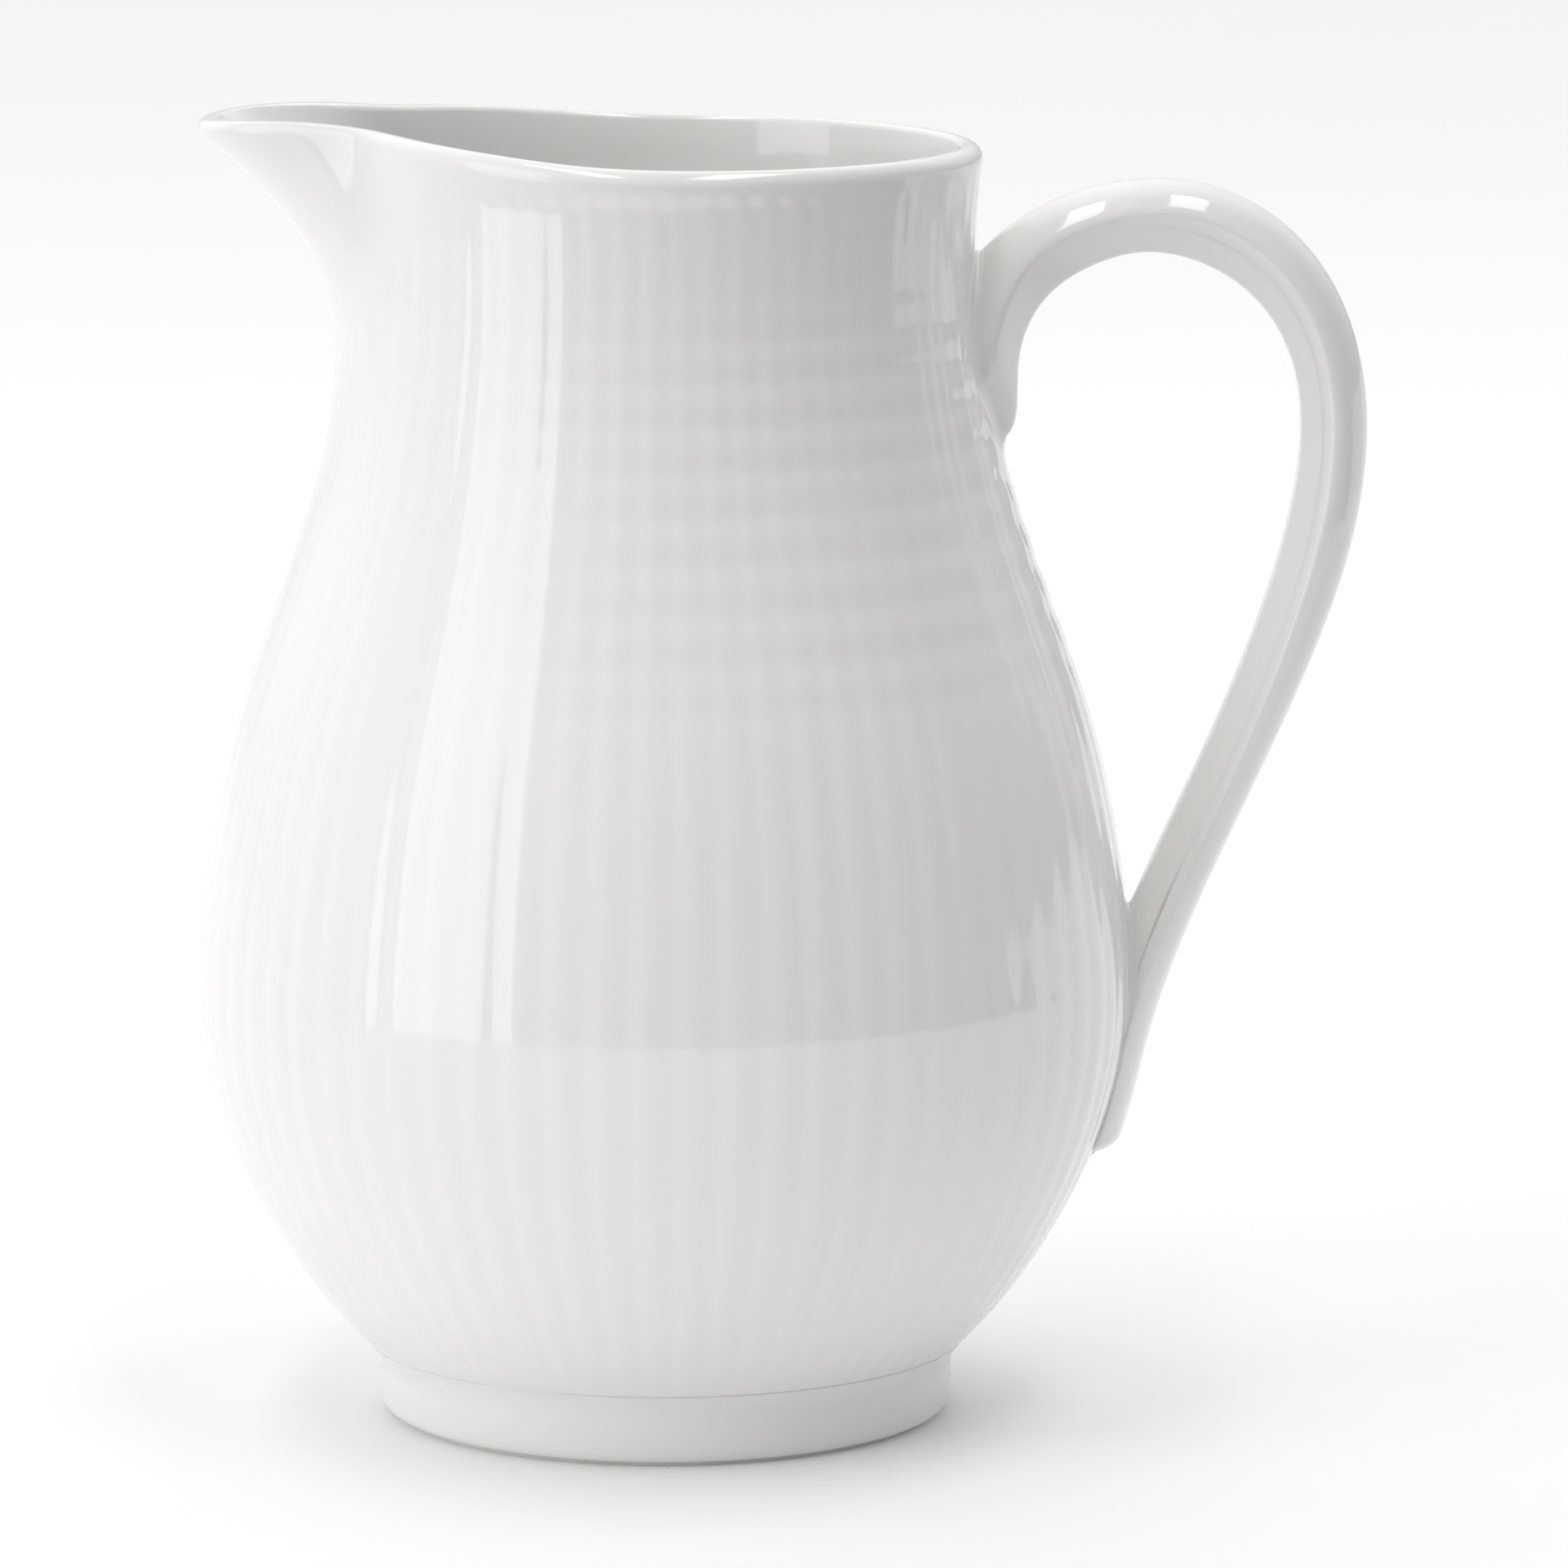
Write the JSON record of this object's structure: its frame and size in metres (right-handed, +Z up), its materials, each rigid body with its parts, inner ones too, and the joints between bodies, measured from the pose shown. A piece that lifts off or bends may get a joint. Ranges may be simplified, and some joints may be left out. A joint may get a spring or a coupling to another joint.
{
  "type": "ceramic pitcher",
  "caption": "Round-bellied white porcelain pitcher with reeded wall, drawn-out pouring lip, raised foot ring and ear-shaped handle.",
  "frame": {"origin": "centre of the unglazed ring that the foot stands on, in the plane of the table", "axes": "+Z up, +X towards the handle, -X towards the pouring spout, +Y away from the viewer who sees the spout on the left"},
  "size_m": [0.1643, 0.1316, 0.1842],
  "materials": {
    "white_glaze": "glossy clear glaze on white porcelain",
    "bare_porcelain": "unglazed, wiped and polished biscuit"
  },
  "bodies": {
    "root": {"body": "white_glaze", "foot_ring": "white_glaze", "unglazed_foot_rim": "bare_porcelain", "handle": "white_glaze", "upper_handle_joint": "white_glaze", "lower_handle_joint": "white_glaze"}
  },
  "joints": []
}
